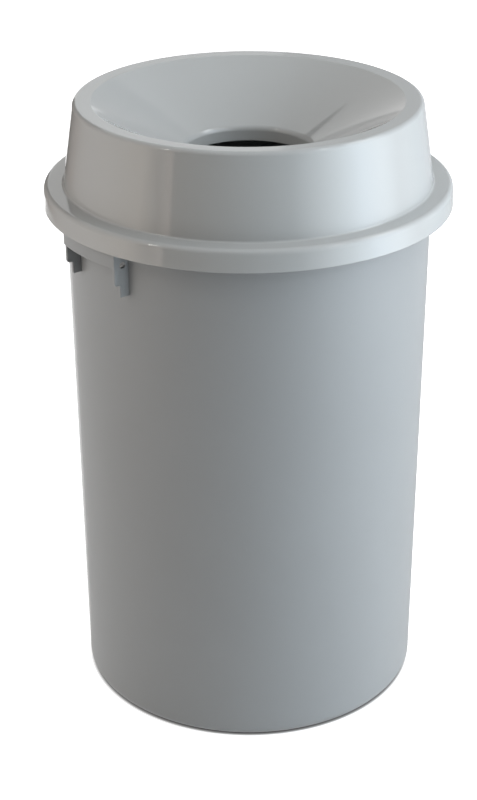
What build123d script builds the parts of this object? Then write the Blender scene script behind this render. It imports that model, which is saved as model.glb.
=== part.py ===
from build123d import *
from math import copysign, hypot, sqrt
import os

# Round plastic bin with a funnel lid, in millimetres.
# The origin is the centre of the foot ring, on the floor, with +Z up.
# The two grips lie on the -X and +X sides.

# Bin
bin_height = 715.0
bin_top_radius = 238.0
bin_base_radius = 232.0
bin_wall = 3.5
base_corner_round = 12.0
foot_ring_width = 16.0
base_recess = 4.0
base_recess_slope = 5.0
rim_reach = 21.0
rim_lip_height = 18.0
rim_neck_round = 4.0

# Grips: a band that hangs from the rim, held by two stepped ribs
grip_clear_width = 99.0
rib_thickness = 4.0
band_drop = 46.0
band_end_reach = 1.0
rib_outer_drop = 70.0
rib_inner_drop = 86.0
rib_inset = 1.2
rib_step_depth = 8.0
rib_corner_round = 4.0
rib_step_round = 1.5
grip_edge_round = 0.8
bail_hole_diameter = 8.5
bail_hole_drop = 44.0
bail_hole_from_wall = 8.0

# Lid
lid_wall = 3.0
lid_rise = 106.7
skirt_clearance = 3.0
skirt_depth = 28.3
skirt_draft = 1.2
skirt_round = 7.0
ledge_width = 25.0
ledge_foot_round = 3.0
lid_wall_lean = 16.2
top_rim_width = 23.0
top_rim_slope = 1.0
top_rim_round = 6.3
mouth_round = 1.6
throat_radius = 82.0
throat_draft = 0.6
throat_shoulder_drop = 66.5
throat_bottom_drop = 85.0
throat_shoulder_round = 9.0
edge_round = 1.1
seat_gap = 0.3
least_round = 0.4
sharp = 0.0

# How far a cutting solid runs past what it cuts
cut_overrun = 20.0

# Places that follow from the sizes
rim_radius = bin_top_radius + rim_reach
lip_inner_radius = rim_radius - bin_wall
flange_underside = bin_height - bin_wall
grip_half_width = grip_clear_width / 2 + rib_thickness
skirt_radius = rim_radius + skirt_clearance + lid_wall
ledge_top = bin_height + seat_gap + lid_wall
lid_top = ledge_top + lid_rise
wall_foot_radius = skirt_radius - ledge_width
wall_top_radius = wall_foot_radius - lid_wall_lean
mouth_radius = wall_top_radius - top_rim_width


def heading(start, end):
    # Unit direction from one point of a profile to the next
    across = end[0] - start[0]
    up = end[1] - start[1]
    length = hypot(across, up)
    return across / length, up / length


def left_turn(before, after):
    # Positive where the profile turns to its left
    return before[0] * after[1] - before[1] * after[0]


def back_points(points, wall):
    # The profile's points moved to its left by the wall, with mitred corners
    headings = [heading(a, b) for a, b in zip(points, points[1:])]
    befores = [headings[0]] + headings
    afters = headings + [headings[-1]]
    moved = []
    for point, before, after in zip(points, befores, afters):
        share = wall / (1 + before[0] * after[0] + before[1] * after[1])
        left = (-before[1] - after[1], before[0] + after[0])
        moved.append((point[0] + left[0] * share, point[1] + left[1] * share))
    return moved


def back_rounds(points, rounds, wall):
    # The corner rounds that keep the wall even on the back of the shell
    headings = [heading(a, b) for a, b in zip(points, points[1:])]
    turns = [left_turn(a, b) for a, b in zip(headings, headings[1:])]
    return [max(r - copysign(wall, turn), least_round) for r, turn in zip(rounds, turns)]


def moulded_shell(points, rounds, wall, rounded_ends):
    # A shell of even wall, turned about Z, whose visible face follows the points
    behind = back_points(points, wall)
    front_line = FilletPolyline(*points, radius=rounds)
    back_line = FilletPolyline(*behind, radius=back_rounds(points, rounds, wall))
    caps = Line(points[0], behind[0]) + Line(points[-1], behind[-1])
    profile = make_face(front_line.edges() + back_line.edges() + caps.edges())
    for end in rounded_ends:
        corners = [profile.vertices().sort_by_distance(side[end])[0] for side in (points, behind)]
        profile = fillet(corners, edge_round)
    return revolve(Plane.XZ * profile, Axis.Z)


def bin_shell():
    foot_ring_inner = bin_base_radius - base_corner_round - foot_ring_width
    points = [
        (0, base_recess),
        (foot_ring_inner - base_recess_slope, base_recess),
        (foot_ring_inner, 0),
        (bin_base_radius, 0),
        (bin_top_radius, flange_underside),
        (lip_inner_radius, flange_underside),
        (lip_inner_radius, bin_height - band_drop),
    ]
    # The rim's inner corner is sharp, so its outer one is as round as the wall is thick
    rounds = [bin_wall, bin_wall, base_corner_round, rim_neck_round, sharp]
    return moulded_shell(points, rounds, bin_wall, [-1])


def wall_radius(height):
    # Outside of the bin's wall at a height
    return bin_base_radius + (bin_top_radius - bin_base_radius) * height / flange_underside


def ring(outer, inner, low, high):
    height = high - low
    tube = Cylinder(outer, height) - Cylinder(inner, height)
    return Pos(0, 0, (low + high) / 2) * tube


def lip_trim():
    # What the rim's lip loses outside the two grips, where it hangs as deep as their bands
    low = bin_height - band_drop - bin_wall
    high = bin_height - rim_lip_height
    hoop = ring(rim_radius + cut_overrun, (bin_top_radius + lip_inner_radius) / 2, low, high)
    span = 2 * (rim_radius + cut_overrun) + cut_overrun
    width = 2 * (grip_half_width + band_end_reach)
    bands = Pos(0, 0, (low + high) / 2) * Box(span, width, high - low + cut_overrun)
    return hoop - bands


def grip_rib():
    # One stepped rib on the grip's +Y side, with the hole for the end of a bail
    near = grip_clear_width / 2
    outer_end = sqrt(rim_radius ** 2 - grip_half_width ** 2) - rib_inset
    step = outer_end - rib_step_depth
    outer_bottom = bin_height - rib_outer_drop
    inner_bottom = bin_height - rib_inner_drop
    inside_wall = min(wall_radius(inner_bottom), bin_top_radius) - bin_wall
    root = sqrt(inside_wall ** 2 - grip_half_width ** 2)
    corners = [
        (root, inner_bottom),
        (step, inner_bottom),
        (step, outer_bottom),
        (outer_end, outer_bottom),
        (outer_end, flange_underside),
        (root, flange_underside),
    ]
    profile = make_face(Polyline(*corners, close=True))
    for corner, size in zip(corners[1:4], (rib_step_round, rib_step_round, rib_corner_round)):
        profile = fillet(profile.vertices().sort_by_distance(corner)[0], size)
    rib = extrude(Plane.XZ.offset(-grip_half_width) * profile, rib_thickness)
    sides = rib.faces().filter_by(Axis.Y).edges()
    free_edges = [edge for edge in sides if on_free_edge(edge.center(), root)]
    rib = fillet(free_edges, grip_edge_round)
    rib -= bin_inside()
    return rib - bail_hole()


def on_free_edge(place, root):
    # True away from the rib's roots in the wall and the flange
    return place.X > root + grip_edge_round and place.Z < flange_underside - grip_edge_round


def bin_inside():
    # The space within the middle of the wall, which the ribs stay out of
    half = bin_wall / 2
    cone = Cone(bin_base_radius - half, bin_top_radius - half, flange_underside)
    return Pos(0, 0, flange_underside / 2) * cone


def bail_hole():
    middle = grip_half_width - rib_thickness / 2
    height = bin_height - bail_hole_drop
    wall_place = sqrt(wall_radius(height) ** 2 - middle ** 2)
    hole = Cylinder(bail_hole_diameter / 2, rib_thickness + cut_overrun, rotation=(90, 0, 0))
    return Pos(wall_place + bail_hole_from_wall, middle, height) * hole


def bin_body():
    body = bin_shell() - lip_trim()
    for rib in (grip_rib(), mirror(grip_rib(), Plane.XZ)):
        body += rib
        body += rib.rotate(Axis.Z, 180)
    return body


def funnel_lid():
    points = [
        (skirt_radius + skirt_draft, ledge_top - skirt_depth),
        (skirt_radius, ledge_top),
        (wall_foot_radius, ledge_top),
        (wall_top_radius, lid_top),
        (mouth_radius, lid_top - top_rim_slope),
        (throat_radius + throat_draft, lid_top - throat_shoulder_drop),
        (throat_radius, lid_top - throat_bottom_drop),
    ]
    rounds = [skirt_round, ledge_foot_round, top_rim_round, mouth_round, throat_shoulder_round]
    return moulded_shell(points, rounds, lid_wall, [0, -1])


os.makedirs("parts", exist_ok=True)
for name, build in (("bin_body", bin_body), ("funnel_lid", funnel_lid)):
    part = build()
    export_step(part, f"parts/{name}.step")
    print(name, "solids", len(part.solids()), "volume", round(part.volume), "mm3", "valid", part.is_valid)
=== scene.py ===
import math

import bmesh
import bpy
from mathutils import Matrix, Vector


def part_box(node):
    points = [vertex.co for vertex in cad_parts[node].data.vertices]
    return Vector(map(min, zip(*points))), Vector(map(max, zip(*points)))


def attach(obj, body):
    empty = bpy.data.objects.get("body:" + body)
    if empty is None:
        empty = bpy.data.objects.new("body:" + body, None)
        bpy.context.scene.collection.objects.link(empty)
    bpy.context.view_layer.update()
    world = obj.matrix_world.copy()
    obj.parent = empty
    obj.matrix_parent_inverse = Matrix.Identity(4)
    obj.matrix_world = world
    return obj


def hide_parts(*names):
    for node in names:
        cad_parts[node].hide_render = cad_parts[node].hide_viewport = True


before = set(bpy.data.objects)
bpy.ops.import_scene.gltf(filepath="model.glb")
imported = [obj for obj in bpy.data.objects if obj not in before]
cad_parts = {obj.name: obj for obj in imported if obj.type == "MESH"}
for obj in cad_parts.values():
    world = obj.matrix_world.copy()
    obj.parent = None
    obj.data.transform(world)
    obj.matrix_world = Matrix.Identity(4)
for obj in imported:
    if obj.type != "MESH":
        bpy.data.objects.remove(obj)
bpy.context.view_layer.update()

scene = bpy.context.scene
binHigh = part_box("bin_body")[1]
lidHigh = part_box("funnel_lid")[1]
print("frame loaded, overall height", round(lidHigh.z, 4), "m")

# how finely the turned shapes are cut, and which points count as one, in metres
turnSteps = 384
cornerSteps = 8
edgeSteps = 3
samePoint = 1e-6
straightTurn = 1e-4


def wallLine(outline, wall):
    # the outline moved to its left by the wall, with mitred corners
    line = [Vector(point) for point in outline]
    headings = [(b - a).normalized() for a, b in zip(line, line[1:])]
    befores = headings[:1] + headings
    afters = headings + headings[-1:]
    moved = []
    for point, before, after in zip(line, befores, afters):
        left = Vector((-before.y - after.y, before.x + after.x))
        moved.append(point + left * wall / (1 + before.dot(after)))
    return moved


def turnOf(before, corner, after):
    # how far the outline turns at a corner, positive to its left
    return -(corner - before).angle_signed(after - corner)


def roundCorner(bm, vert, radius, turn):
    if radius <= 0 or abs(turn) < straightTurn:
        return
    reach = radius * math.tan(abs(turn) / 2)
    bmesh.ops.bevel(bm, geom=[vert], offset=reach, offset_type="OFFSET", segments=cornerSteps,
                    profile=0.5, affect="VERTICES", material=-1)


def spinFull(bm):
    bmesh.ops.spin(bm, geom=bm.verts[:] + bm.edges[:], cent=(0, 0, 0), axis=(0, 0, 1),
                   angle=math.tau, steps=turnSteps, use_merge=True)


def turnedShell(outline, rounds, wall, endRound, openOnAxis=False):
    # a moulded wall turned about the vertical axis: its seen side follows the outline
    front = [Vector(point) for point in outline]
    back = wallLine(outline, wall)
    turns = [turnOf(*front[i - 1:i + 2]) for i in range(1, len(front) - 1)]
    leastRound = wall / 8
    bm = bmesh.new()
    frontVerts = [bm.verts.new((p.x, 0, p.y)) for p in front]
    backVerts = [bm.verts.new((p.x, 0, p.y)) for p in back]
    chain = frontVerts + backVerts[::-1]
    for a, b in zip(chain, chain[1:]):
        bm.edges.new((a, b))
    if not openOnAxis:
        bm.edges.new((chain[-1], chain[0]))
    for i, (radius, turn) in enumerate(zip(rounds, turns), 1):
        roundCorner(bm, frontVerts[i], radius, turn)
        roundCorner(bm, backVerts[i], max(radius - math.copysign(wall, turn), leastRound), turn)
    for i in ([-1] if openOnAxis else [0, -1]):
        roundCorner(bm, frontVerts[i], endRound, math.radians(90))
        roundCorner(bm, backVerts[i], endRound, math.radians(90))
    spinFull(bm)
    bmesh.ops.remove_doubles(bm, verts=bm.verts[:], dist=samePoint)
    bmesh.ops.recalc_face_normals(bm, faces=bm.faces[:])
    return bm


def placeMesh(bm, name):
    mesh = bpy.data.meshes.new(name)
    bm.to_mesh(mesh)
    bm.free()
    piece = bpy.data.objects.new(name, mesh)
    scene.collection.objects.link(piece)
    return piece


def combine(piece, tool, operation):
    # joins the tool to the piece, or cuts it away, and drops the tool
    step = piece.modifiers.new(operation.lower(), "BOOLEAN")
    step.operation = operation
    step.solver = "EXACT"
    step.object = tool
    bpy.context.view_layer.update()
    graph = bpy.context.evaluated_depsgraph_get()
    mesh = bpy.data.meshes.new_from_object(piece.evaluated_get(graph))
    piece.modifiers.clear()
    piece.data = mesh
    mesh.name = piece.name
    bpy.data.objects.remove(tool)


# faces that meet at more than this angle keep a crisp edge
crispAngle = math.radians(35)
evenness = 90


def finishSurface(piece):
    piece.data.shade_smooth()
    piece.data.set_sharp_from_angle(angle=crispAngle)
    weigh = piece.modifiers.new("even normals", "WEIGHTED_NORMAL")
    weigh.weight = evenness
    weigh.keep_sharp = True


# Bin: a tapered tub with a foot ring, an outward rim and two grips below it
binShape = {
    "baseRadius": 0.232,
    "topRadius": 0.238,
    "wall": 0.0035,
    "cornerRound": 0.012,
    "footRing": 0.016,
    "footSlope": 0.005,
    "recess": 0.004,
    "lipHeight": 0.018,
    "neckRound": 0.004,
    "edgeRound": 0.0011,
    "smallRound": 0.0035,
}
gripShape = {
    "clearWidth": 0.099,
    "rib": 0.004,
    "ribInset": 0.0012,
    "bandDrop": 0.046,
    "bandReach": 0.001,
    "outerDrop": 0.070,
    "innerDrop": 0.086,
    "stepDepth": 0.008,
    "cornerRound": 0.004,
    "stepRound": 0.0015,
    "edgeRound": 0.0008,
    "holeDiameter": 0.0085,
    "holeDrop": 0.044,
    "holeFromWall": 0.008,
    "holeSteps": 32,
    "holeMargin": 0.6,
    "rootMargin": 0.001,
    "cornerAngle": 1.0,
}
rimHeight = binHigh.z
rimRadius = binHigh.x
underRim = rimHeight - binShape["wall"]
gripHalf = gripShape["clearWidth"] / 2 + gripShape["rib"]


def wallRadiusAt(height):
    rise = height / underRim
    return binShape["baseRadius"] + (binShape["topRadius"] - binShape["baseRadius"]) * rise


def binShell():
    s = binShape
    footInner = s["baseRadius"] - s["cornerRound"] - s["footRing"]
    lipInner = rimRadius - s["wall"]
    belowGrips = rimHeight - gripShape["innerDrop"] - gripShape["stepDepth"]
    outline = [
        (0, s["recess"]),
        (footInner - s["footSlope"], s["recess"]),
        (footInner, 0),
        (s["baseRadius"], 0),
        (wallRadiusAt(belowGrips), belowGrips),
        (s["topRadius"], underRim),
        (lipInner, underRim),
        (lipInner, rimHeight - gripShape["bandDrop"]),
    ]
    rounds = [s["smallRound"], s["smallRound"], s["cornerRound"], 0, s["neckRound"], 0]
    return turnedShell(outline, rounds, s["wall"], s["edgeRound"], openOnAxis=True)


def lipTrim():
    # what the rim's lip loses outside the grips
    low = rimHeight - gripShape["bandDrop"] - binShape["wall"]
    high = rimHeight - binShape["lipHeight"]
    inner = (binShape["topRadius"] + rimRadius - binShape["wall"]) / 2
    outer = rimRadius + binShape["lipHeight"]
    bm = bmesh.new()
    section = ((inner, low), (outer, low), (outer, high), (inner, high))
    ring = [bm.verts.new((x, 0, z)) for x, z in section]
    for a, b in zip(ring, ring[1:] + ring[:1]):
        bm.edges.new((a, b))
    spinFull(bm)
    bmesh.ops.recalc_face_normals(bm, faces=bm.faces[:])
    trim = placeMesh(bm, "lip_trim")

    # both grips keep their lip: a long box through the middle is taken out of the trim
    bm = bmesh.new()
    overrun = 4
    width = 2 * (gripHalf + gripShape["bandReach"])
    size = (overrun * rimRadius, width, overrun * (high - low))
    bmesh.ops.create_cube(bm, size=1)
    bmesh.ops.scale(bm, vec=size, verts=bm.verts[:])
    bmesh.ops.translate(bm, vec=(0, 0, (low + high) / 2), verts=bm.verts[:])
    combine(trim, placeMesh(bm, "grip_span"), "DIFFERENCE")
    return trim


def gripRib(side, end):
    # one stepped rib; side is -1 or 1 along X, end is -1 or 1 along Y
    g = gripShape
    middle = gripHalf - g["rib"] / 2
    outerEnd = math.sqrt(rimRadius ** 2 - gripHalf ** 2) - g["ribInset"]
    midWall = wallRadiusAt(rimHeight - g["bandDrop"]) - binShape["wall"] / 2
    root = math.sqrt(midWall ** 2 - middle ** 2)
    step = outerEnd - g["stepDepth"]
    outerBottom = rimHeight - g["outerDrop"]
    innerBottom = rimHeight - g["innerDrop"]
    ribTop = rimHeight - binShape["wall"] / 2
    corners = [
        (root, innerBottom),
        (step, innerBottom),
        (step, outerBottom),
        (outerEnd, outerBottom),
        (outerEnd, underRim),
        (step, ribTop),
        (root, ribTop),
    ]
    rounds = {1: g["stepRound"], 2: g["stepRound"], 3: g["cornerRound"]}
    bm = bmesh.new()
    loop = [bm.verts.new((x, gripHalf, z)) for x, z in corners]
    for a, b in zip(loop, loop[1:] + loop[:1]):
        bm.edges.new((a, b))
    for i, radius in rounds.items():
        roundCorner(bm, loop[i], radius, math.radians(90))
    holeHeight = rimHeight - g["holeDrop"]
    holeX = math.sqrt(wallRadiusAt(holeHeight) ** 2 - middle ** 2) + g["holeFromWall"]
    place = Matrix.Translation((holeX, gripHalf, holeHeight)) @ Matrix.Rotation(math.pi / 2, 4, "X")
    bmesh.ops.create_circle(bm, cap_ends=False, radius=g["holeDiameter"] / 2, segments=g["holeSteps"],
                            matrix=place)
    bmesh.ops.triangle_fill(bm, use_beauty=True, edges=bm.edges[:])
    grown = bmesh.ops.extrude_face_region(bm, geom=bm.faces[:])["geom"]
    inward = [v for v in grown if isinstance(v, bmesh.types.BMVert)]
    bmesh.ops.translate(bm, vec=(0, -g["rib"], 0), verts=inward)
    bmesh.ops.recalc_face_normals(bm, faces=bm.faces[:])

    def isFree(edge):
        # an outer edge of the rib, away from its roots and its hole
        a, b = (v.co for v in edge.verts)
        centre = (a + b) / 2
        flat = abs(a.y - b.y) < samePoint
        fromHole = math.hypot(centre.x - holeX, centre.z - holeHeight)
        nearHole = fromHole < g["holeDiameter"] * g["holeMargin"]
        rooted = centre.x < root + g["rootMargin"] or centre.z > underRim - g["rootMargin"]
        return flat and not nearHole and not rooted and edge.calc_face_angle(0) > g["cornerAngle"]
    free = [edge for edge in bm.edges if isFree(edge)]
    bmesh.ops.bevel(bm, geom=free, offset=g["edgeRound"], offset_type="OFFSET",
                    segments=edgeSteps, profile=0.5, affect="EDGES", material=-1)
    bmesh.ops.scale(bm, vec=(side, end, 1), verts=bm.verts[:])
    bmesh.ops.recalc_face_normals(bm, faces=bm.faces[:])
    return placeMesh(bm, "grip_rib")


def makeBin():
    tub = placeMesh(binShell(), "bin_moulding")
    combine(tub, lipTrim(), "DIFFERENCE")
    for side in (-1, 1):
        for end in (-1, 1):
            combine(tub, gripRib(side, end), "UNION")
    finishSurface(tub)
    return tub


# Lid: a skirt over the rim, a flat ledge, a leaning wall, and a funnel down to the throat
lidShape = {
    "wall": 0.003,
    "skirtDepth": 0.0283,
    "skirtDraft": 0.0012,
    "skirtRound": 0.007,
    "ledgeWidth": 0.025,
    "footRound": 0.003,
    "rise": 0.1067,
    "lean": 0.0162,
    "rimWidth": 0.023,
    "rimSlope": 0.001,
    "rimRound": 0.0063,
    "mouthRound": 0.0016,
    "throatRadius": 0.082,
    "throatDraft": 0.0006,
    "shoulderDrop": 0.0665,
    "throatDrop": 0.085,
    "shoulderRound": 0.009,
    "edgeRound": 0.0011,
}


def makeLid():
    s = lidShape
    top = lidHigh.z
    ledge = top - s["rise"]
    skirtBottom = lidHigh.x
    skirtTop = skirtBottom - s["skirtDraft"]
    wallFoot = skirtTop - s["ledgeWidth"]
    wallTop = wallFoot - s["lean"]
    mouth = wallTop - s["rimWidth"]
    outline = [
        (skirtBottom, ledge - s["skirtDepth"]),
        (skirtTop, ledge),
        (wallFoot, ledge),
        (wallTop, top),
        (mouth, top - s["rimSlope"]),
        (s["throatRadius"] + s["throatDraft"], top - s["shoulderDrop"]),
        (s["throatRadius"], top - s["throatDrop"]),
    ]
    rounds = [s["skirtRound"], s["footRound"], s["rimRound"], s["mouthRound"], s["shoulderRound"]]
    lid = placeMesh(turnedShell(outline, rounds, s["wall"], s["edgeRound"]), "lid_moulding")
    finishSurface(lid)
    return lid


# Materials: grey moulded plastic, satin on the bin and glossy on the lid
binFinish = {"colour": (0.317, 0.329, 0.334), "roughness": 0.36, "skin": 0.3, "grain": 0.00001,
             "grainScale": 900, "wave": 0.0001, "waveScale": 9, "cloud": 0.03}
lidFinish = {"colour": (0.44, 0.448, 0.443), "roughness": 0.08, "skin": 0.0, "grain": 0.000001,
             "grainScale": 700, "wave": 0.0001, "waveScale": 9, "cloud": 0.02}

skinRoughness = 0.07  # the thin shiny skin that a mould leaves on satin plastic
cloudNoise = {"scale": 6, "detail": 3}
smudgeNoise = {"scale": 28, "detail": 5, "share": 0.08}
grainDetail = 2
waveDetail = 1


def addNode(tree, kind, place, **values):
    node = tree.nodes.new(kind)
    node.location = place
    for name, value in values.items():
        if hasattr(node, name):
            setattr(node, name, value)
        else:
            node.inputs[name.replace("_", " ")].default_value = value
    return node


def plastic(name, finish):
    material = bpy.data.materials.new(name)
    material.use_nodes = True
    tree = material.node_tree
    shader = tree.nodes["Principled BSDF"]
    shader.inputs["Coat Weight"].default_value = finish["skin"]
    shader.inputs["Coat Roughness"].default_value = skinRoughness
    where = addNode(tree, "ShaderNodeTexCoord", (-1300, 0))

    # slow uneven tint from the melt
    cloud = addNode(tree, "ShaderNodeTexNoise", (-1000, 300), Scale=cloudNoise["scale"],
                    Detail=cloudNoise["detail"])
    tint = addNode(tree, "ShaderNodeMix", (-500, 300), data_type="RGBA")
    colour = Vector(finish["colour"])
    tint.inputs["A"].default_value = (*colour * (1 - finish["cloud"]), 1)
    tint.inputs["B"].default_value = (*colour * (1 + finish["cloud"]), 1)
    tree.links.new(where.outputs["Object"], cloud.inputs["Vector"])
    tree.links.new(cloud.outputs["Fac"], tint.inputs["Factor"])
    tree.links.new(tint.outputs["Result"], shader.inputs["Base Color"])

    # roughness wanders a little, as moulded plastic does
    smudge = addNode(tree, "ShaderNodeTexNoise", (-1000, 0), Scale=smudgeNoise["scale"],
                     Detail=smudgeNoise["detail"])
    spread = addNode(tree, "ShaderNodeMapRange", (-500, 0),
                     To_Min=finish["roughness"] * (1 - smudgeNoise["share"]),
                     To_Max=finish["roughness"] * (1 + smudgeNoise["share"]))
    tree.links.new(where.outputs["Object"], smudge.inputs["Vector"])
    tree.links.new(smudge.outputs["Fac"], spread.inputs["Value"])
    tree.links.new(spread.outputs["Result"], shader.inputs["Roughness"])

    # fine grain of the mould, over the slow ripple of the wall
    grain = addNode(tree, "ShaderNodeTexNoise", (-1000, -300), Scale=finish["grainScale"],
                    Detail=grainDetail)
    grainBump = addNode(tree, "ShaderNodeBump", (-500, -300), Strength=1, Distance=finish["grain"])
    wave = addNode(tree, "ShaderNodeTexNoise", (-1000, -600), Scale=finish["waveScale"],
                   Detail=waveDetail)
    waveBump = addNode(tree, "ShaderNodeBump", (-200, -300), Strength=1, Distance=finish["wave"])
    tree.links.new(where.outputs["Object"], grain.inputs["Vector"])
    tree.links.new(grain.outputs["Fac"], grainBump.inputs["Height"])
    tree.links.new(where.outputs["Object"], wave.inputs["Vector"])
    tree.links.new(wave.outputs["Fac"], waveBump.inputs["Height"])
    tree.links.new(grainBump.outputs["Normal"], waveBump.inputs["Normal"])
    tree.links.new(waveBump.outputs["Normal"], shader.inputs["Normal"])
    return material


def dress(piece, body, node, material):
    piece.data.materials.clear()
    piece.data.materials.append(material)
    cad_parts[node].data.materials.clear()
    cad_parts[node].data.materials.append(material)
    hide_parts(node)
    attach(piece, body)


binPiece = makeBin()
dress(binPiece, "bin", "bin_body", plastic("bin_plastic", binFinish))
print("bin made,", len(binPiece.data.polygons), "faces")
lidPiece = makeLid()
dress(lidPiece, "lid", "funnel_lid", plastic("lid_plastic", lidFinish))
print("lid made,", len(lidPiece.data.polygons), "faces")


# Camera: a standing photographer's view, the near grip at the left
view = {"azimuth": -38.75, "distance": 2.2583, "height": 1.4979, "pitch": 26.04, "yaw": -0.361,
        "roll": 0.292, "lens": 82.07, "sensor": 36}


def addCamera():
    camera = bpy.data.cameras.new("camera")
    camera.sensor_fit = "VERTICAL"
    camera.sensor_height = view["sensor"]
    camera.lens = view["lens"]
    cameraObject = bpy.data.objects.new("camera", camera)
    scene.collection.objects.link(cameraObject)
    around = math.radians(view["azimuth"])
    place = Vector((math.sin(around), -math.cos(around), 0)) * view["distance"]
    place.z = view["height"]
    aim = Matrix.Rotation(around - math.radians(view["yaw"]), 4, "Z")
    tilt = Matrix.Rotation(math.radians(90 - view["pitch"]), 4, "X")
    lean = Matrix.Rotation(math.radians(-view["roll"]), 4, "Z")
    cameraObject.matrix_world = Matrix.Translation(place) @ aim @ tilt @ lean
    scene.camera = cameraObject


# Studio: a curved wall of soft light stands round the object, open only behind its left edge
# Angles run from the camera's side, positive to the right; strength is how bright the wall is there
wallGlow = [
    {"angle": -157, "strength": 0, "tint": (1.0, 1.0, 1.0)},
    {"angle": -135, "strength": 0.21, "tint": (1.0, 0.81, 0.75)},
    {"angle": -110, "strength": 0.72, "tint": (0.98, 0.97, 1.0)},
    {"angle": -85, "strength": 1.46, "tint": (1.0, 0.97, 0.94)},
    {"angle": -65, "strength": 1.97, "tint": (1.0, 0.9, 0.8)},
    {"angle": -53, "strength": 0.7, "tint": (1.0, 0.86, 0.77)},
    {"angle": -45, "strength": 1.55, "tint": (1.0, 0.81, 0.71)},
    {"angle": -44, "strength": 0, "tint": (1.0, 1.0, 1.0)},
    {"angle": 25, "strength": 0, "tint": (1.0, 1.0, 1.0)},
    {"angle": 40, "strength": 1.7, "tint": (0.89, 0.95, 1.0)},
    {"angle": 55, "strength": 3.55, "tint": (0.84, 0.94, 1.0)},
    {"angle": 70, "strength": 5.5, "tint": (0.8, 0.9, 1.0)},
    {"angle": 85, "strength": 4.1, "tint": (0.9, 0.95, 1.0)},
    {"angle": 100, "strength": 1.3, "tint": (1.0, 0.95, 0.94)},
    {"angle": 125, "strength": 0.62, "tint": (0.93, 0.95, 1.0)},
    {"angle": 178, "strength": 0.62, "tint": (1.0, 1.0, 1.0)},
]
wallShape = {"radius": 2.1, "low": 0.02, "high": 2.3, "steps": 100}
lamps = [
    {"name": "ceiling", "angle": 0, "distance": 0.01, "height": 2.7, "size": 1.8, "power": 1.5,
     "tint": (0.7, 0.87, 1.0)},
    {"name": "high right", "angle": 62, "distance": 1.6, "height": 2.7, "size": 0.3, "power": 3.8,
     "tint": (0.96, 0.99, 1.0)},
    {"name": "soft right", "angle": 98, "distance": 1.7, "height": 2.5, "size": 0.8, "power": 12,
     "tint": (0.93, 0.98, 1.0)},
    {"name": "high left", "angle": -58, "distance": 1.7, "height": 2.1, "size": 0.18, "power": 2.6,
     "tint": (1.0, 0.97, 0.93)},
]
lampAim = Vector((0, 0, 0.75))
ambient = 0.33


def aroundCamera(angle, distance, height):
    # a place so many degrees to the right of the camera, seen from the object
    turn = math.radians(view["azimuth"] + angle)
    return Vector((math.sin(turn) * distance, -math.cos(turn) * distance, height))


def fillRamp(node, stops):
    # stops are pairs of a place from 0 to 1 and a colour
    elements = node.color_ramp.elements
    while len(elements) < len(stops):
        elements.new(0.5)
    for element, (place, colour) in zip(elements, stops):
        element.position = place
        element.color = (*colour, 1)


def emptyMaterial(name):
    material = bpy.data.materials.new(name)
    material.use_nodes = True
    material.node_tree.nodes.clear()
    return material


def wallGlowMaterial():
    # the glow goes by the turn about the object, read from the wall's own coordinates
    first, last = wallGlow[0]["angle"], wallGlow[-1]["angle"]
    brightest = max(stop["strength"] for stop in wallGlow)
    material = emptyMaterial("soft light")
    tree = material.node_tree
    where = addNode(tree, "ShaderNodeTexCoord", (-1200, 0))
    turn = addNode(tree, "ShaderNodeMapping", (-1000, 0),
                   Rotation=(0, 0, -math.radians(view["azimuth"])))
    split = addNode(tree, "ShaderNodeSeparateXYZ", (-800, 0))
    towards = addNode(tree, "ShaderNodeMath", (-600, -100), operation="MULTIPLY")
    towards.inputs[1].default_value = -1
    angle = addNode(tree, "ShaderNodeMath", (-400, 0), operation="ARCTAN2")
    along = addNode(tree, "ShaderNodeMapRange", (-200, 0), From_Min=math.radians(first),
                    From_Max=math.radians(last))
    ramp = addNode(tree, "ShaderNodeValToRGB", (0, 0))
    fillRamp(ramp, [((stop["angle"] - first) / (last - first),
                     Vector(stop["tint"]) * stop["strength"] / brightest) for stop in wallGlow])
    glow = addNode(tree, "ShaderNodeEmission", (300, 0), Strength=brightest)
    output = addNode(tree, "ShaderNodeOutputMaterial", (500, 0))
    tree.links.new(where.outputs["Object"], turn.inputs["Vector"])
    tree.links.new(turn.outputs["Vector"], split.inputs["Vector"])
    tree.links.new(split.outputs["X"], angle.inputs[0])
    tree.links.new(split.outputs["Y"], towards.inputs[0])
    tree.links.new(towards.outputs[0], angle.inputs[1])
    tree.links.new(angle.outputs[0], along.inputs["Value"])
    tree.links.new(along.outputs["Result"], ramp.inputs["Fac"])
    tree.links.new(ramp.outputs["Color"], glow.inputs["Color"])
    tree.links.new(glow.outputs[0], output.inputs["Surface"])
    return material


def addLightWall():
    first, last = wallGlow[0]["angle"], wallGlow[-1]["angle"]
    bm = bmesh.new()
    foot = aroundCamera(first, wallShape["radius"], wallShape["low"])
    head = aroundCamera(first, wallShape["radius"], wallShape["high"])
    bm.edges.new([bm.verts.new(foot), bm.verts.new(head)])
    bmesh.ops.spin(bm, geom=bm.verts[:] + bm.edges[:], cent=(0, 0, 0), axis=(0, 0, 1),
                   angle=math.radians(last - first), steps=wallShape["steps"])
    wall = placeMesh(bm, "light_wall")
    wall.visible_camera = False
    wall.data.materials.append(wallGlowMaterial())


def addLamps():
    for spec in lamps:
        lamp = bpy.data.lights.new(spec["name"], "AREA")
        lamp.size = spec["size"]
        lamp.energy = spec["power"]
        lamp.color = spec["tint"]
        lampObject = bpy.data.objects.new(spec["name"], lamp)
        scene.collection.objects.link(lampObject)
        lampObject.location = aroundCamera(spec["angle"], spec["distance"], spec["height"])
        lampObject.rotation_euler = (lampAim - lampObject.location).to_track_quat("-Z", "Y").to_euler()
        lampObject.visible_camera = False


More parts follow.
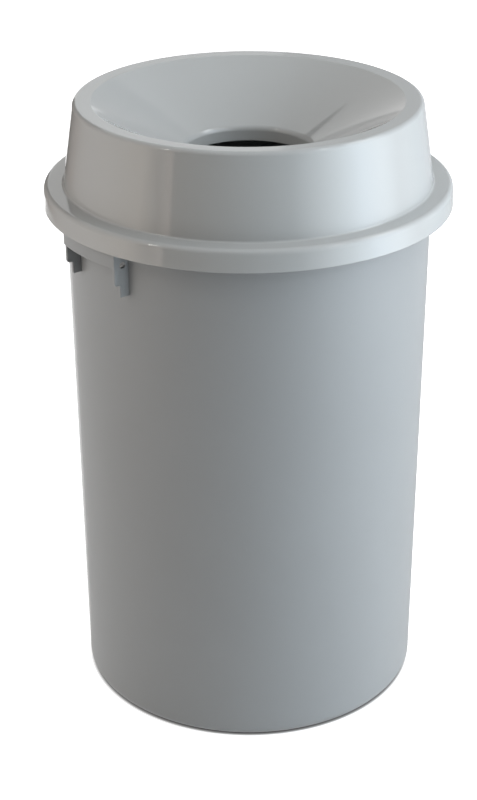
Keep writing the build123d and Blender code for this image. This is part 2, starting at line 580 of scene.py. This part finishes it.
# a grey card on the floor that only reflections meet, with a gap in it behind the left edge:
# reflected floor is greyer than the floor that the camera sees
floorCard = {"reach": 4.0, "glow": 0.62, "gap": 25, "gapStart": 0.5, "height": 0.0005}


def addFloorCard():
    reach, edge = floorCard["reach"], binShape["topRadius"]
    gapStart = edge * floorCard["gapStart"]
    gapEnd = edge + reach * math.tan(math.radians(floorCard["gap"]))
    corners = [
        (-edge, 0),
        (-gapStart, edge),
        (-gapStart, reach),
        (reach, reach),
        (reach, -reach),
        (-reach, -reach),
        (-reach, reach),
        (-gapEnd, reach),
    ]
    bm = bmesh.new()
    bm.faces.new([bm.verts.new((x, y, floorCard["height"])) for x, y in corners])
    turn = Matrix.Rotation(math.radians(view["azimuth"]), 3, "Z")
    bmesh.ops.rotate(bm, cent=(0, 0, 0), matrix=turn, verts=bm.verts[:])
    bmesh.ops.triangulate(bm, faces=bm.faces[:])
    card = placeMesh(bm, "floor_card")
    for kind in ("camera", "diffuse", "transmission", "shadow", "volume_scatter"):
        setattr(card, "visible_" + kind, False)
    material = emptyMaterial("grey card")
    tree = material.node_tree
    glow = addNode(tree, "ShaderNodeEmission", (0, 0), Strength=floorCard["glow"])
    output = addNode(tree, "ShaderNodeOutputMaterial", (200, 0))
    tree.links.new(glow.outputs[0], output.inputs["Surface"])
    card.data.materials.append(material)


def seenDirectly(tree, place):
    # 1 for what the camera sees, straight or in a reflection
    path = addNode(tree, "ShaderNodeLightPath", place)
    both = addNode(tree, "ShaderNodeMath", (place[0] + 200, place[1]), operation="MAXIMUM")
    every = addNode(tree, "ShaderNodeMath", (place[0] + 400, place[1]), operation="MAXIMUM")
    tree.links.new(path.outputs["Is Camera Ray"], both.inputs[0])
    tree.links.new(path.outputs["Is Glossy Ray"], both.inputs[1])
    tree.links.new(both.outputs[0], every.inputs[0])
    tree.links.new(path.outputs["Is Transmission Ray"], every.inputs[1])
    return every.outputs[0]


def addSurroundings():
    world = bpy.data.worlds.new("white room")
    world.use_nodes = True
    tree = world.node_tree
    background = tree.nodes["Background"]
    background.inputs["Color"].default_value = (1, 1, 1, 1)
    strength = addNode(tree, "ShaderNodeMapRange", (-200, 0), To_Min=ambient, To_Max=1)
    tree.links.new(seenDirectly(tree, (-900, 0)), strength.inputs["Value"])
    tree.links.new(strength.outputs["Result"], background.inputs["Strength"])
    scene.world = world


# the floor glows nearly white; a dark ring painted under the tub's edge stands in for its contact
# shadow, given as pairs of a radius and a strength
floorLook = {"radius": 14, "colour": 0.8, "fadeRadius": 1.3, "sides": 64}
floorGlow = [(0.2275, 0.0), (0.2325, 0.93), (1.3, 1.0)]


def addFloor():
    bm = bmesh.new()
    bmesh.ops.create_circle(bm, cap_ends=True, radius=floorLook["radius"],
                            segments=floorLook["sides"])
    floor = placeMesh(bm, "floor")
    material = emptyMaterial("white floor")
    tree = material.node_tree
    matte = addNode(tree, "ShaderNodeBsdfDiffuse", (0, 100))
    paint = addNode(tree, "ShaderNodeMath", (-200, 100), operation="MULTIPLY")
    paint.inputs[1].default_value = floorLook["colour"]
    glow = addNode(tree, "ShaderNodeEmission", (0, -100), Color=(1, 1, 1, 1))
    where = addNode(tree, "ShaderNodeTexCoord", (-1100, -400))
    far = addNode(tree, "ShaderNodeVectorMath", (-900, -400), operation="LENGTH")
    share = addNode(tree, "ShaderNodeMath", (-700, -400), operation="DIVIDE")
    share.inputs[1].default_value = floorLook["fadeRadius"]
    fade = addNode(tree, "ShaderNodeValToRGB", (-500, -400))
    fillRamp(fade, [(radius / floorLook["fadeRadius"], (strength,) * 3)
                    for radius, strength in floorGlow])
    level = addNode(tree, "ShaderNodeMath", (-200, -100), operation="MULTIPLY")
    tree.links.new(where.outputs["Object"], far.inputs[0])
    tree.links.new(far.outputs["Value"], share.inputs[0])
    tree.links.new(share.outputs[0], fade.inputs["Fac"])
    tree.links.new(fade.outputs["Color"], level.inputs[1])
    # the same ramp darkens the floor's own colour in a ring under the tub's edge: a painted contact
    # shadow
    tree.links.new(fade.outputs["Color"], paint.inputs[0])
    tree.links.new(paint.outputs[0], matte.inputs["Color"])
    both = addNode(tree, "ShaderNodeAddShader", (200, 0))
    output = addNode(tree, "ShaderNodeOutputMaterial", (400, 0))
    tree.links.new(seenDirectly(tree, (-900, -100)), level.inputs[0])
    tree.links.new(level.outputs[0], glow.inputs["Strength"])
    tree.links.new(matte.outputs[0], both.inputs[0])
    tree.links.new(glow.outputs[0], both.inputs[1])
    tree.links.new(both.outputs[0], output.inputs["Surface"])
    floor.data.materials.append(material)


addCamera()
addLightWall()
addLamps()
addFloorCard()
addSurroundings()
addFloor()
scene.view_settings.view_transform = "Standard"
print("camera, lamps, floor and surroundings set")
